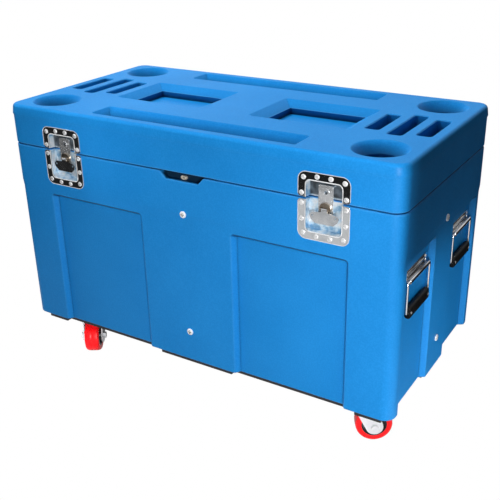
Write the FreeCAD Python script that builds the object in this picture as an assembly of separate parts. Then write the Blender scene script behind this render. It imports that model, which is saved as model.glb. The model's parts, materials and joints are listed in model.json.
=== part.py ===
"""Roto-moulded flight case on swivel casters.

A moulded tub and a hinged lid with pockets in its top, two recessed butterfly latches, two drop handles on
each end, and a black board underneath that carries four swivel casters.

Frame: millimetres, +X along the length, the front faces -Y, +Z up. The origin is on the floor under the
middle of the case.
"""
import FreeCAD, Part
import math
import os

V = FreeCAD.Vector

# Case shell
case_length = 1200.0        # over the lid's ridge
case_depth = 614.0          # over the lid's ridge
tub_height = 549.0          # underside to rim
lid_height = 112.0          # skirt edge to lid top
parting_gap = 3.0           # between the rim and the skirt edge
wall = 7.0                  # moulded wall
corner_radius = 34.0        # upright corners
ridge_proud = 2.0           # the lid's ridge outside the walls
ridge_drop = 27.0           # the ridge below the lid top
ridge_rise = 6.0            # height of the step under the ridge
top_lean = 4.0              # how far the band above the ridge leans in
top_radius = 11.0           # rounding of the lid's top edge
edge_radius = 3.5           # rounding of rim, skirt and underside edges
belt_drop = 109.0           # belt crease below the rim
belt_band = 21.0            # height of the sloping band under the crease
belt_inset = 2.0            # how far the walls step in under the crease
cavity_floor_radius = 12.0  # inside of the tub, floor to wall

# Rim joint between tub and lid
tongue_height = 12.0
tongue_thickness = 4.0
tongue_clearance = 1.2
seal_height = 2.0

# Recessed panels in the sides
panel_drop = 135.0          # panel tops below the rim
panel_depth = 16.0
panel_run = 10.0            # how far their walls slope in
panel_corner = 10.0
panel_lip_radius = 5.0
front_rib = 285.0           # rib between the two panels of a long side
front_corner_rib = 132.0    # outer edge of such a panel from the end of the case
end_rib = 130.0             # rib between the two panels of an end
end_corner_rib = 47.5       # outer edge of such a panel from the side of the case

# Finger notch in the front rim
notch_width = 136.0         # at the rim
notch_run = 18.0            # how far each flank slopes in
notch_height = 18.5
notch_depth = 17.5
notch_lip_radius = 12.0
notch_foot_radius = 5.0

# Pockets in the lid top
pocket_lip = 2.5            # bevel round each mouth
cup_from_end = 104.0        # cup axis from the end of the case
cup_from_side = 97.0
cup_radius = 68.0
cup_throat = 46.0           # radius under the cone
cup_cone_depth = 28.0
cup_depth = 52.0
cup_foot = 6.0              # bevel round the cup's floor
slot_from_end = (186.0, 119.0, 53.0)
slot_length = (154.0, 196.0, 154.0)
slot_width = 38.0
slot_depth = 40.0
slot_run = 4.0
slot_corner = 9.0
tray_from_end = 378.0       # middle of each rectangular recess from the end of the case
tray_length = 290.0
tray_width = 206.0
tray_run = 32.0             # width of its sloping border
tray_step = 17.0            # depth of the border
tray_depth = 34.0
tray_corner = 5.0
trough_y = 236.0            # middle of each long trough
trough_length = 624.0
trough_width = 78.0
trough_run = 27.0
trough_depth = 26.0
trough_corner = 5.0

# Board under the tub
board_thickness = 20.0
board_inset = 22.0          # board edge behind the tub's walls and panels
board_corner = 12.0

# Latches
latch_from_end = 197.0      # middle of a latch from the end of the case
latch_width = 133.0
latch_top = 65.0            # flange top above the middle of the parting
latch_bottom = 101.0        # flange bottom below it
latch_flange = 19.0
latch_corner = 20.0
latch_split_corner = 6.0
latch_split_gap = 6.0
latch_depth = 17.0          # dish floor behind the face
latch_run = 5.0
latch_dish_corner = 12.0
latch_sheet = 1.5
latch_seat = 0.5            # room round the dish in the moulding
cam_drop = 22.5             # cam axis below the middle of the parting
cam_radius = 15.0
cam_thickness = 3.6
cam_post_radius = 4.0
eccentric_radius = 10.0
eccentric_offset = 3.0      # half of the hook's travel
eccentric_slack = 1.2
hook_width = 38.0
hook_thickness = 3.0
hook_reach = 57.5           # hook top above the cam axis
hook_foot = 20.5            # hook bottom below the cam axis
hook_corner = 3.0           # of its foot and its window
hook_top_corner = 5.0
hook_eye_radius = 4.5
hook_eye_height = 40.0      # eye above the cam axis
hook_ring_width = 4.0
hook_ring_height = 1.0
hook_gap = 0.5              # hook behind cam and in front of the strike
strike_width = 30.0
strike_height = 8.0
strike_rise = 46.0          # strike above the cam axis
strike_proud = 2.0
wing_half_width = 38.0
wing_drop = 36.0
wing_neck = 4.0             # neck below the barrel
wing_fall = 2.0             # how far each shoulder slopes down
wing_tip = 8.0              # width and height of the cut at each tip
wing_taper = 4.0            # how far the sides lean in
wing_foot = 10.0            # width of the slope up to each side of the foot
wing_foot_rise = 9.0
wing_round = 5.0            # rounding of its corners
wing_thickness = 2.4
wing_barrel_radius = 3.0
wing_barrel_length = 15.0
wing_pin_radius = 1.5
wing_lug = 3.0
wing_lug_gap = 0.5
wing_lift = 3.4             # wing axis in front of the cam face
wing_hole_radius = 2.5
running_fit = 0.05          # radial room of a shaft in its hole

# Rivets, screws and bolts
rivet_radius = 6.3
rivet_height = 2.6
head_taper = 0.6            # crown of a rivet or screw head to its foot
rivet_edge = 9.5            # rivet centre from the edge of a latch flange
rivet_corner = 4.5          # how much further in the corner rivets sit
screw_radius = 9.5
screw_head = 4.5
screw_shank = 3.0
screw_drop = (109.0, 458.0)     # rib screws below the rim
screw_nut_radius = 6.5
screw_nut_height = 5.0
bolt_radius = 4.0
bolt_head_radius = 7.5
bolt_head = 5.3
bolt_grip = 16.0            # how far a caster bolt goes into the board

# Eye in the finger notch
eye_width = 18.0
eye_height = 10.0
eye_thickness = 6.0
eye_drop = 12.5             # its middle below the rim
eye_hole = 2.6
eye_flat = 1.0              # straight stretch of its ends

# Drop handles
handle_drop = 170.0         # plate top below the rim
plate_width = 142.0
plate_height = 30.0
plate_thickness = 2.5
plate_corner = 6.0
plate_emboss = 1.6          # raised middle of the plate
emboss_corner = 5.0
barrel_radius = 6.0
barrel_standoff = 10.5      # bail axis in front of the panel floor
bail_wire = 3.5             # radius of the wire
bail_width = 145.0          # between the centres of the legs
bail_drop = 83.0            # grip axis below the bail axis
bail_bend = 7.0
bail_bend_sides = 12        # sides of the wire's section in its bends
bail_side_gap = 1.0
grip_height = 32.0
grip_thickness = 17.0
grip_bevel = 2.5
grip_flat = 1.0             # flat stretch along its top and bottom
handle_rivet_radius = 4.0
handle_rivet_height = 1.8
handle_rivet_edge = 8.0

# Hinges
hinge_from_end = 197.0      # middle of a hinge from the end of the case
hinge_width = 100.0
hinge_leaf = 54.0           # leaf edge from the pin
hinge_sheet = 2.5
hinge_corner = 4.0
hinge_knuckle = 6.0         # outer radius
hinge_pin = 3.0             # radius
hinge_knuckles = 5
hinge_side_gap = 0.4
hinge_offset = 7.0          # pin axis behind the rear wall
hinge_leaf_gap = 1.5        # leaf edge clear of the other leaf's knuckle
hinge_rivets = 3

# Casters
swivel_from_end = 121.0     # swivel axis from the end of the case
swivel_from_side = 125.0
trail = 21.0
wheel_radius = 50.0
tyre_width = 46.0
tyre_shoulder = 7.0
core_radius = 34.0
core_fit = 0.05
core_rim = 4.0
core_rim_width = 44.0
core_web_width = 30.0
hub_radius = 17.0
hub_width = 52.0
hub_draft = 2.0             # lean of the hub's and rim's sides
axle_radius = 6.0
axle_head_radius = 10.5
axle_head = 8.0
leg_thickness = 4.0
leg_gap = 1.0               # hub to leg
leg_end_radius = 23.0       # round end about the axle
leg_front = 25.0            # crown edge ahead of the swivel axis, on the trailing side
leg_back = 36.0
leg_corner = 6.0            # upper corners of a leg
crown_thickness = 5.0
crown_corner = 4.0
crown_clearance = 6.0       # tyre to crown
fork_race_radius = 22.0
fork_race = 10.5
plate_race_radius = 27.0
plate_race = 11.1
plate_race_draft = 5.0      # how far the race narrows towards its plate
race_gap = 0.4
kingpin_radius = 6.0
kingpin_head_radius = 11.0
kingpin_head = 2.6
caster_plate_length = 104.0
caster_plate_width = 90.0
caster_plate_thickness = 5.0
caster_plate_corner = 8.0
caster_hole_x = 80.0
caster_hole_y = 64.0
caster_hole_radius = 4.5
caster_heading = {"front_right": 31.6, "front_left": -58.4, "rear_right": 160.0, "rear_left": 205.0}

# Cutting tools run this far past the faces they cut
over = 6.0

# Heights and half sizes that follow from the values above
caster_height = (2 * wheel_radius + crown_clearance + crown_thickness + fork_race + race_gap + plate_race
                 + caster_plate_thickness)
z_tub = caster_height + board_thickness
z_rim = z_tub + tub_height
z_skirt = z_rim + parting_gap
z_top = z_skirt + lid_height
z_part = (z_rim + z_skirt) / 2
z_panel = z_rim - panel_drop
half_x = case_length / 2 - ridge_proud
half_y = case_depth / 2 - ridge_proud
low_x = half_x - belt_inset
low_y = half_y - belt_inset
in_x = low_x - wall
in_y = low_y - wall
in_corner = corner_radius - wall
z_cam = z_part - cam_drop
front_panel = case_length / 2 - front_corner_rib - front_rib / 2
end_panel = case_depth / 2 - end_corner_rib - end_rib / 2
handle_y = (end_rib + end_panel) / 2
latch_x = case_length / 2 - latch_from_end
hinge_x = case_length / 2 - hinge_from_end
swivel_x = case_length / 2 - swivel_from_end
swivel_y = case_depth / 2 - swivel_from_side
cup_x = case_length / 2 - cup_from_end
cup_y = case_depth / 2 - cup_from_side
tray_x = case_length / 2 - tray_from_end
slot_x = [case_length / 2 - distance for distance in slot_from_end]
z_bail = z_rim - handle_drop - plate_height + barrel_radius

FRONT = (V(1, 0, 0), V(0, -1, 0))
REAR = (V(-1, 0, 0), V(0, 1, 0))
RIGHT = (V(0, 1, 0), V(1, 0, 0))
LEFT = (V(0, -1, 0), V(-1, 0, 0))
SIGNS = {"right": 1, "left": -1}


def rounded_polygon(points, radii, z=0.0):
    """Closed wire in the plane z through (x, y) points, each corner rounded by its radius."""
    corners = [V(x, y, z) for x, y in points]
    count = len(corners)
    starts = []
    ends = []
    arcs = []
    for i, corner in enumerate(corners):
        back = (corners[i - 1] - corner).normalize()
        ahead = (corners[(i + 1) % count] - corner).normalize()
        radius = radii[i]
        if radius == 0:
            starts.append(corner)
            ends.append(corner)
            arcs.append(None)
            continue
        half = back.getAngle(ahead) / 2
        reach = radius / math.tan(half)
        middle = (back + ahead).normalize()
        start = corner + back * reach
        end = corner + ahead * reach
        top = corner + middle * (radius / math.sin(half) - radius)
        starts.append(start)
        ends.append(end)
        arcs.append(Part.Arc(start, top, end).toShape())
    edges = []
    for i in range(count):
        if arcs[i]:
            edges.append(arcs[i])
        following = starts[(i + 1) % count]
        if ends[i].distanceToPoint(following) > 1e-6:
            edges.append(Part.LineSegment(ends[i], following).toShape())
    return Part.Wire(edges)


def rounded_rect(width, height, radius, z=0.0, cx=0.0, cy=0.0):
    a = width / 2
    b = height / 2
    points = [(cx - a, cy - b), (cx + a, cy - b), (cx + a, cy + b), (cx - a, cy + b)]
    return rounded_polygon(points, [radius] * 4, z)


def plate(wire, thickness):
    return Part.Face(wire).extrude(V(0, 0, thickness))


def loft(wires):
    return Part.makeLoft(wires, True, True)


def rod(radius, length, base, direction):
    return Part.makeCylinder(radius, length, base, direction)


def box(low, high):
    return Part.makeBox(high.x - low.x, high.y - low.y, high.z - low.z, low)


def revolve(points):
    """Solid of revolution about Z from (radius, z) points."""
    wire = Part.makePolygon([V(r, 0, z) for r, z in points + points[:1]])
    return Part.Face(wire).revolve(V(0, 0, 0), V(0, 0, 1), 360)


def stud_head(radius, height):
    """Low rivet or screw head on the plane z = 0."""
    return Part.makeCone(radius, radius * head_taper, height)


def hexagon(radius, height):
    points = []
    for i in range(6):
        angle = math.radians(60 * i)
        points.append((radius * math.cos(angle), radius * math.sin(angle)))
    return plate(rounded_polygon(points, [0] * 6), height)


def on_face(shape, side, origin):
    """Put a shape drawn in (across, up, outward) on a side of the case."""
    across, outward = side
    turn = FreeCAD.Matrix(across.x, 0, outward.x, origin.x,
                          across.y, 0, outward.y, origin.y,
                          across.z, 1, outward.z, origin.z,
                          0, 0, 0, 1)
    placed = shape.copy()
    placed.Placement = FreeCAD.Placement(turn).multiply(placed.Placement)
    return placed


def moved(shape, offset):
    placed = shape.copy()
    placed.translate(offset)
    return placed


def turned(shape, angle):
    placed = shape.copy()
    placed.rotate(V(0, 0, 0), V(0, 0, 1), angle)
    return placed


def edges_where(shape, test):
    """Edges whose points all pass the test."""
    found = []
    for edge in shape.Edges:
        points = edge.discretize(5)
        if all(test(point) for point in points):
            found.append(edge)
    return found


def near(a, b):
    return abs(a - b) < 0.01


def pocket(width, height, depth, run, corner, grow=0.0):
    """Cutter for a moulded pocket: mouth on z = 0, floor below, walls leaning in by run.

    With grow it is the back of the same pocket's wall."""
    deep = depth + grow
    flare = run * over / deep
    narrow = min(run, corner / 2)
    mouth_corner = corner + grow + narrow * over / deep
    mouth = rounded_rect(width + 2 * (grow + flare), height + 2 * (grow + flare), mouth_corner, over)
    floor = rounded_rect(width + 2 * (grow - run), height + 2 * (grow - run), corner + grow - narrow, -deep)
    return loft([mouth, floor])


# Side panels, latch dishes and the notch are drawn in (across, up, outward).


def panel_cutter(width, grow=0.0):
    """Recessed panel, open at the underside of the tub."""
    below = 2 * panel_corner + panel_run + 2 * wall + over
    height = z_panel - z_tub + below
    cutter = pocket(width, height, panel_depth, panel_run, panel_corner, grow)
    return moved(cutter, V(0, z_panel - height / 2, 0))


def panel_places():
    """Side, middle and width of each recessed panel: two in each side."""
    front_u = (front_rib + front_panel) / 2
    end_u = (end_rib + end_panel) / 2
    places = []
    for sign in (1, -1):
        for side in (FRONT, REAR):
            places.append((side, side[1] * low_y + side[0] * (sign * front_u), front_panel))
        for side in (RIGHT, LEFT):
            places.append((side, side[1] * low_x + side[0] * (sign * end_u), end_panel))
    return places


def panels(grow=0.0):
    """All eight panel cutters."""
    return [on_face(panel_cutter(width, grow), side, origin) for side, origin, width in panel_places()]


def latch_dish_solid(grow):
    """Form of the pressed dish, grown on all sides, from its mouth on the face to its floor."""
    width = latch_width - 2 * latch_flange + 2 * grow
    top = latch_top - latch_flange + grow
    bottom = latch_bottom - latch_flange + grow
    height = top + bottom
    shape = pocket(width, height, latch_depth - latch_sheet + grow, latch_run, latch_dish_corner + grow)
    return moved(shape, V(0, z_part + (top - bottom) / 2, 0))


def latch_pockets(grow=0.0):
    """Room for both latch dishes in the moulded walls."""
    room = latch_sheet + latch_seat + grow
    return [on_face(latch_dish_solid(room), FRONT, V(sign * latch_x, -half_y, 0)) for sign in (1, -1)]


def notch_cutter(grow=0.0):
    """Finger notch in the front rim."""
    half = notch_width / 2 + grow
    foot = half - notch_run
    drop = notch_height + grow
    shelf = half + 2 * notch_lip_radius
    points = [(-shelf, 0), (-half, 0), (-foot, -drop), (foot, -drop), (half, 0), (shelf, 0), (shelf, over),
              (-shelf, over)]
    lip = notch_lip_radius
    radii = [0, lip, notch_foot_radius, notch_foot_radius, lip, 0, 0, 0]
    shape = plate(rounded_polygon(points, radii, -notch_depth - grow), notch_depth + grow + over)
    return on_face(shape, FRONT, V(0, -half_y, z_rim))


def plan(x, y, radius, z):
    """Rounded rectangle seen from above, from half sizes."""
    return rounded_rect(2 * x, 2 * y, radius, z)


def ring(x, y, radius, thickness, z, height):
    """Upright band that follows the walls: outer half sizes, wall thickness, foot and height."""
    outer = plate(plan(x, y, radius, z), height)
    inner = plate(plan(x - thickness, y - thickness, radius - thickness, z), height)
    return outer.cut(inner)


def tub_skin():
    """Outside of the tub as one solid block."""
    z_belt = z_rim - belt_drop
    low_corner = corner_radius - belt_inset
    block = loft([plan(low_x, low_y, low_corner, z_tub), plan(low_x, low_y, low_corner, z_belt - belt_band),
                  plan(half_x, half_y, corner_radius, z_belt), plan(half_x, half_y, corner_radius, z_rim)])
    block = block.cut(panels() + [notch_cutter()])

    def on_panel_lip(p):
        on_side = near(abs(p.y), low_y) and abs(p.x) < low_x - corner_radius
        on_end = near(abs(p.x), low_x) and abs(p.y) < low_y - corner_radius
        return (on_side or on_end) and p.z < z_panel + 0.01

    lips = [e for e in edges_where(block, on_panel_lip) if not near(e.BoundBox.ZMax, z_tub)]
    block = block.makeFillet(panel_lip_radius, lips)
    block = block.makeFillet(edge_radius, edges_where(block, lambda p: near(p.z, z_tub)))

    def on_outer_rim(p):
        on_wall = near(abs(p.y), half_y) or near(abs(p.x), half_x)
        in_corner_arc = abs(p.x) > half_x - corner_radius and abs(p.y) > half_y - corner_radius
        above_notch = p.z > z_rim - notch_height - 0.01
        return (on_wall or in_corner_arc) and above_notch

    return block.makeFillet(edge_radius, edges_where(block, on_outer_rim))


def rim_tongue():
    """Upstand inside the lid's skirt. It steps behind the latch dishes and the notch."""
    foot = z_rim - wall
    height = wall + tongue_height
    radius = in_corner + tongue_thickness
    tongue = ring(in_x + tongue_thickness, in_y + tongue_thickness, radius, tongue_thickness, foot, height)
    tongue = tongue.cut(latch_pockets(wall) + [notch_cutter(wall)])
    return tongue


def rim_guards():
    """Short upstands that close the rim behind each latch dish and behind the notch."""
    guards = []
    latch_half = latch_width / 2 - latch_flange + latch_sheet + latch_seat + wall
    latch_back = -half_y + latch_depth + latch_seat + wall
    spots = [(latch_x, latch_half, latch_back), (-latch_x, latch_half, latch_back)]
    notch_half = notch_width / 2 + wall
    spots.append((0, notch_half, -half_y + notch_depth + wall))
    for x, half, back in spots:
        low = V(x - half, back - wall / 2, z_rim - 2 * wall)
        high = V(x + half, back + tongue_clearance + tongue_thickness, z_rim)
        foot = box(low, high)
        upright = box(V(low.x, back + tongue_clearance, z_rim - wall),
                      V(high.x, high.y, z_rim + tongue_height))
        guards.append(foot.fuse(upright))
    return guards


def rib_screw_spots():
    """Where the pan-head screws sit: side, middle of the rib, height."""
    spots = []
    for drop in screw_drop:
        z = z_rim - drop
        inset = 0 if drop <= belt_drop else belt_inset
        for side, distance in ((FRONT, half_y), (REAR, half_y), (RIGHT, half_x), (LEFT, half_x)):
            spots.append((side, side[1] * (distance - inset) + V(0, 0, z)))
    return spots


def base_tub():
    cavity = plate(plan(in_x, in_y, in_corner, z_tub + wall), tub_height + over)
    floor_edges = edges_where(cavity, lambda p: near(p.z, z_tub + wall))
    cavity = cavity.makeFillet(cavity_floor_radius, floor_edges)
    cavity = cavity.cut(panels(wall) + latch_pockets(wall) + [notch_cutter(wall)])
    shell = tub_skin().cut(cavity)
    shell = shell.fuse([rim_tongue()] + rim_guards())
    shell = shell.cut(latch_pockets())
    holes = []
    for side, origin in rib_screw_spots():
        reach = 2 * wall + belt_inset
        holes.append(rod(screw_shank + running_fit, reach, origin - side[1] * reach, side[1]))
    return shell.cut(holes).removeSplitter()


def cup_cutter(grow=0.0):
    """Round caster cup: a bevelled lip and a cone that narrows into a throat."""
    lip = cup_radius + grow
    throat = cup_throat + grow
    floor = -cup_depth - grow
    points = [(0, over), (lip + pocket_lip + over, over), (lip + pocket_lip, 0),
              (lip - pocket_lip, -pocket_lip), (throat, -cup_cone_depth), (throat, floor + cup_foot),
              (throat - cup_foot, floor), (0, floor)]
    return revolve(points)


def tray_cutter(grow=0.0):
    """Rectangular recess: a sloping border, then a straight step down to the floor."""
    border = pocket(tray_length, tray_width, tray_step, tray_run, tray_corner, grow)
    length = tray_length - 2 * tray_run + 2 * grow
    width = tray_width - 2 * tray_run + 2 * grow
    deep = tray_depth + grow
    well = plate(rounded_rect(length, width, tray_corner / 2 + grow, -deep), deep)
    return border.fuse(well)


def lid_pockets(grow=0.0):
    """All cutters of the lid top, with their mouths on the top face."""
    cutters = []
    slots = [pocket(slot_width, length, slot_depth, slot_run, slot_corner, grow) for length in slot_length]
    trough = pocket(trough_length, trough_width, trough_depth, trough_run, trough_corner, grow)
    for sx in (1, -1):
        cutters.append(moved(tray_cutter(grow), V(sx * tray_x, 0, z_top)))
        for x, slot in zip(slot_x, slots):
            cutters.append(moved(slot, V(sx * x, 0, z_top)))
        for sy in (1, -1):
            cutters.append(moved(cup_cutter(grow), V(sx * cup_x, sy * cup_y, z_top)))
    for sy in (1, -1):
        cutters.append(moved(trough, V(0, sy * trough_y, z_top)))
    return cutters


def lid_skin():
    """Outside of the lid as one solid block."""
    z_ridge = z_top - ridge_drop
    ridge_corner = corner_radius + ridge_proud
    top_x = half_x + ridge_proud - top_lean
    top_y = half_y + ridge_proud - top_lean
    block = loft([plan(half_x, half_y, corner_radius, z_skirt),
                  plan(half_x, half_y, corner_radius, z_ridge - ridge_rise),
                  plan(half_x + ridge_proud, half_y + ridge_proud, ridge_corner, z_ridge),
                  plan(top_x, top_y, ridge_corner - top_lean, z_top)])
    block = block.makeFillet(top_radius, edges_where(block, lambda p: near(p.z, z_top)))
    block = block.makeFillet(edge_radius, edges_where(block, lambda p: near(p.z, z_skirt)))
    block = block.cut(lid_pockets())
    rim = 2 * top_radius - top_lean / 2

    def on_pocket_lip(p):
        in_cup = math.hypot(abs(p.x) - cup_x, abs(p.y) - cup_y) < cup_radius + 2 * pocket_lip
        inside = abs(p.x) < top_x - rim and abs(p.y) < top_y - rim
        return near(p.z, z_top) and inside and not in_cup

    return block.makeChamfer(pocket_lip, edges_where(block, on_pocket_lip))


def lid_shell():
    cavity = plate(plan(in_x, in_y, in_corner, z_skirt - over), lid_height - wall + over)
    cavity = cavity.cut(lid_pockets(wall) + latch_pockets(wall))
    shell = lid_skin().cut(cavity)
    room = tongue_thickness + tongue_clearance
    relief_height = z_rim + tongue_height + seal_height - z_skirt
    relief = plate(plan(in_x + room, in_y + room, in_corner + room, z_skirt - over), relief_height + over)
    relief = relief.cut(latch_pockets(wall))
    return shell.cut([relief] + latch_pockets()).removeSplitter()


def lid_seal():
    """Rubber strip in the lid that rests on the rim's tongue, in two lengths."""
    radius = in_corner + tongue_thickness
    z = z_rim + tongue_height
    strip = ring(in_x + tongue_thickness, in_y + tongue_thickness, radius, tongue_thickness, z, seal_height)
    return strip.cut(latch_pockets(wall) + [notch_cutter(wall)])


def caster_spots():
    spots = {}
    for end, sx in SIGNS.items():
        spots["front_" + end] = V(sx * swivel_x, -swivel_y, 0)
        spots["rear_" + end] = V(sx * swivel_x, swivel_y, 0)
    return spots


def caster_hole_spots():
    """Bolt holes of one caster plate, from its swivel axis."""
    return [V(sx * caster_hole_x / 2, sy * caster_hole_y / 2, 0) for sx in (1, -1) for sy in (1, -1)]


def caster_board():
    """Board that carries the casters. Its edge follows the ribs and panels of the tub."""
    length = 2 * (low_x - board_inset)
    width = 2 * (low_y - board_inset)
    board = plate(rounded_rect(length, width, board_corner, caster_height), board_thickness)
    holes = []
    for side, origin, panel in panel_places():
        half = panel / 2 + board_inset
        low = V(-half, caster_height - over, -panel_depth - board_inset)
        holes.append(on_face(box(low, V(half, z_tub + over, over)), side, origin))
    for spot in caster_spots().values():
        for hole in caster_hole_spots():
            base = spot + hole + V(0, 0, caster_height)
            holes.append(rod(bolt_radius + running_fit, bolt_grip, base, V(0, 0, 1)))
    return board.cut(holes)


def caster_bolts():
    bolts = []
    for spot in caster_spots().values():
        for hole in caster_hole_spots():
            z_head = caster_height - caster_plate_thickness - bolt_head
            head = moved(hexagon(bolt_head_radius, bolt_head), spot + hole + V(0, 0, z_head))
            length = bolt_head + caster_plate_thickness + bolt_grip
            shank = rod(bolt_radius, length, spot + hole + V(0, 0, z_head), V(0, 0, 1))
            bolts.append(head.fuse(shank).removeSplitter())
    return Part.makeCompound(bolts)


def rib_screws():
    """Pan-head screws with a nut on the inside of the wall."""
    screws = []
    for side, origin in rib_screw_spots():
        head = stud_head(screw_radius, screw_head)
        inside = origin.dot(side[1]) - (in_y if side in (FRONT, REAR) else in_x)
        shank = rod(screw_shank, inside + screw_nut_height, V(0, 0, -inside - screw_nut_height), V(0, 0, 1))
        nut = moved(hexagon(screw_nut_radius, screw_nut_height), V(0, 0, -inside - screw_nut_height))
        screws.append(on_face(head.fuse([shank, nut]).removeSplitter(), side, origin))
    return Part.makeCompound(screws)


# Latch pieces are drawn round x = 0 in (across, up, outward), with the face of the wall at 0.

dish_floor = -latch_depth + latch_sheet
hook_back = dish_floor + strike_proud + hook_gap
hook_front = hook_back + hook_thickness
cam_back = hook_front + hook_gap
cam_front = cam_back + cam_thickness
wing_axis = cam_front + wing_lift


def latch_sheet_metal(outline):
    """Pressed flange and dish, kept inside the outline's height."""
    flange = plate(outline, latch_sheet)
    low = outline.BoundBox.YMin
    high = outline.BoundBox.YMax
    reach = latch_width
    slab = box(V(-reach, low, -latch_depth - over), V(reach, high, latch_sheet))
    tray = latch_dish_solid(latch_sheet).common(box(V(-reach, low, -latch_depth - over), V(reach, high, 0)))
    return flange.fuse(tray).cut(latch_dish_solid(0).common(slab)).removeSplitter()


def latch_outline(low, high, low_corner, high_corner):
    half = latch_width / 2
    points = [(-half, low), (half, low), (half, high), (-half, high)]
    return rounded_polygon(points, [low_corner, low_corner, high_corner, high_corner])


def latch_dish():
    """Lower half of the dish, with the post that the cam turns on."""
    high = z_part - latch_split_gap / 2
    dish = latch_sheet_metal(latch_outline(z_part - latch_bottom, high, latch_corner, latch_split_corner))
    post = rod(cam_post_radius, cam_front - hook_gap - dish_floor, V(0, z_cam, dish_floor), V(0, 0, 1))
    return dish.fuse(post).removeSplitter()


def latch_keeper():
    """Upper half of the dish on the lid, with the strike that the hook pulls on."""
    low = z_part + latch_split_gap / 2
    keeper = latch_sheet_metal(latch_outline(low, z_part + latch_top, latch_split_corner, latch_corner))
    z = z_cam + strike_rise
    outline = rounded_rect(strike_width, strike_height, strike_height / 4, dish_floor, 0, z)
    strike = plate(outline, strike_proud)
    return keeper.fuse(strike).removeSplitter()


def latch_hook():
    """Flat hook with the window that the eccentric works in and an eye at its top."""
    points = [(-hook_width / 2, z_cam - hook_foot), (hook_width / 2, z_cam - hook_foot),
              (hook_width / 2, z_cam + hook_reach), (-hook_width / 2, z_cam + hook_reach)]
    outline = rounded_polygon(points, [hook_corner] * 2 + [hook_top_corner] * 2, hook_back)
    hook = plate(outline, hook_thickness)
    eye = V(0, z_cam + hook_eye_height, hook_back)
    ring_height = hook_thickness + hook_ring_height
    hook = hook.fuse(rod(hook_eye_radius + hook_ring_width, ring_height, eye, V(0, 0, 1)))
    width = 2 * (eccentric_radius + eccentric_offset + eccentric_slack)
    height = 2 * (eccentric_radius + eccentric_slack)
    opening = rounded_rect(width, height, hook_corner, hook_back - over, 0, z_cam - eccentric_offset)
    window = plate(opening, hook_thickness + 2 * over)
    hole = rod(hook_eye_radius, ring_height + 2 * over, eye - V(0, 0, over), V(0, 0, 1))
    return hook.cut([window, hole]).removeSplitter()


def latch_cam():
    """Round cam with its eccentric behind and the wing's lugs and pin in front."""
    out = V(0, 0, 1)
    disc = rod(cam_radius, cam_thickness, V(0, z_cam, cam_back), out)
    eccentric = rod(eccentric_radius, cam_back - hook_back, V(0, z_cam - eccentric_offset, hook_back), out)
    solids = [eccentric]
    inner = wing_barrel_length / 2 + wing_lug_gap
    for sign in (1, -1):
        low = inner if sign > 0 else -inner - wing_lug
        solids.append(rod(wing_barrel_radius, wing_lug, V(low, z_cam, wing_axis), V(1, 0, 0)))
        web = box(V(low, z_cam - wing_barrel_radius, cam_front - cam_thickness / 2),
                  V(low + wing_lug, z_cam + wing_barrel_radius, wing_axis))
        solids.append(web)
    length = 2 * (inner + wing_lug)
    solids.append(rod(wing_pin_radius, length, V(-length / 2, z_cam, wing_axis), V(1, 0, 0)))
    bore_depth = cam_front - hook_back - hook_gap / 2
    bore = rod(cam_post_radius + running_fit, bore_depth, V(0, z_cam, hook_back), out)
    return disc.fuse(solids).cut(bore).removeSplitter()


def latch_wing():
    """Butterfly wing, folded flat under the cam axis, with its barrel on the cam's pin."""
    neck = wing_barrel_length / 2
    w = wing_half_width
    d = wing_drop
    shoulder = wing_barrel_radius + wing_neck
    tip = shoulder + wing_fall + wing_tip
    waist = w - wing_taper
    side = [(neck, 0), (neck, -shoulder), (w - wing_tip, -shoulder - wing_fall), (w, -tip),
            (waist, -d + wing_foot_rise), (waist - wing_foot, -d)]
    radii = [0] + [wing_round] * 5
    points = side + [(-x, y) for x, y in reversed(side)]
    outline = rounded_polygon(points, radii + radii[::-1])
    wing = moved(plate(outline, wing_thickness), V(0, z_cam, wing_axis - wing_thickness / 2))
    barrel = rod(wing_barrel_radius, wing_barrel_length, V(-neck, z_cam, wing_axis), V(1, 0, 0))
    wing = wing.fuse(barrel)
    holes = [rod(wing_pin_radius + running_fit, 4 * w, V(-2 * w, z_cam, wing_axis), V(1, 0, 0))]
    for sign in (1, -1):
        spot = V(sign * (w - wing_tip), z_cam - tip, wing_axis - over)
        holes.append(rod(wing_hole_radius, 2 * over, spot, V(0, 0, 1)))
    return wing.cut(holes).removeSplitter()


def latch_rivet_spots(on_lid):
    """Rivet centres on one flange, in (across, up)."""
    side = latch_width / 2 - rivet_edge
    corner = side - rivet_corner
    if on_lid:
        high = z_part + latch_top - rivet_edge
        row = [(x, high) for x in (-corner / 3, corner / 3)]
        row += [(sign * corner, high - rivet_corner) for sign in (1, -1)]
        return row + [(sign * side, z_part + latch_split_gap / 2 + rivet_edge) for sign in (1, -1)]
    low = z_part - latch_bottom + rivet_edge
    high = z_part - latch_split_gap / 2 - rivet_edge
    row = [(x, low) for x in (-corner / 3, corner / 3)]
    spots = row + [(sign * corner, low + rivet_corner) for sign in (1, -1)]
    return spots + [(sign * side, z) for sign in (1, -1) for z in (high, (high + low) / 2)]


def hinge_rivet_spots(on_lid):
    """Rivet centres on one hinge leaf, in (across, up)."""
    edge = hinge_leaf - 3 * rivet_radius
    z = z_part + edge if on_lid else z_part - edge
    step = hinge_width / hinge_rivets
    return [((i - (hinge_rivets - 1) / 2) * step, z) for i in range(hinge_rivets)]


def shell_rivets(on_lid):
    rivets = []
    for sign in (1, -1):
        for u, v in latch_rivet_spots(on_lid):
            head = moved(stud_head(rivet_radius, rivet_height), V(u, v, latch_sheet))
            rivets.append(on_face(head, FRONT, V(sign * latch_x, -half_y, 0)))
        for u, v in hinge_rivet_spots(on_lid):
            head = moved(stud_head(rivet_radius, rivet_height), V(u, v, hinge_sheet))
            rivets.append(on_face(head, REAR, V(sign * hinge_x, half_y, 0)))
    return Part.makeCompound(rivets)


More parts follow.
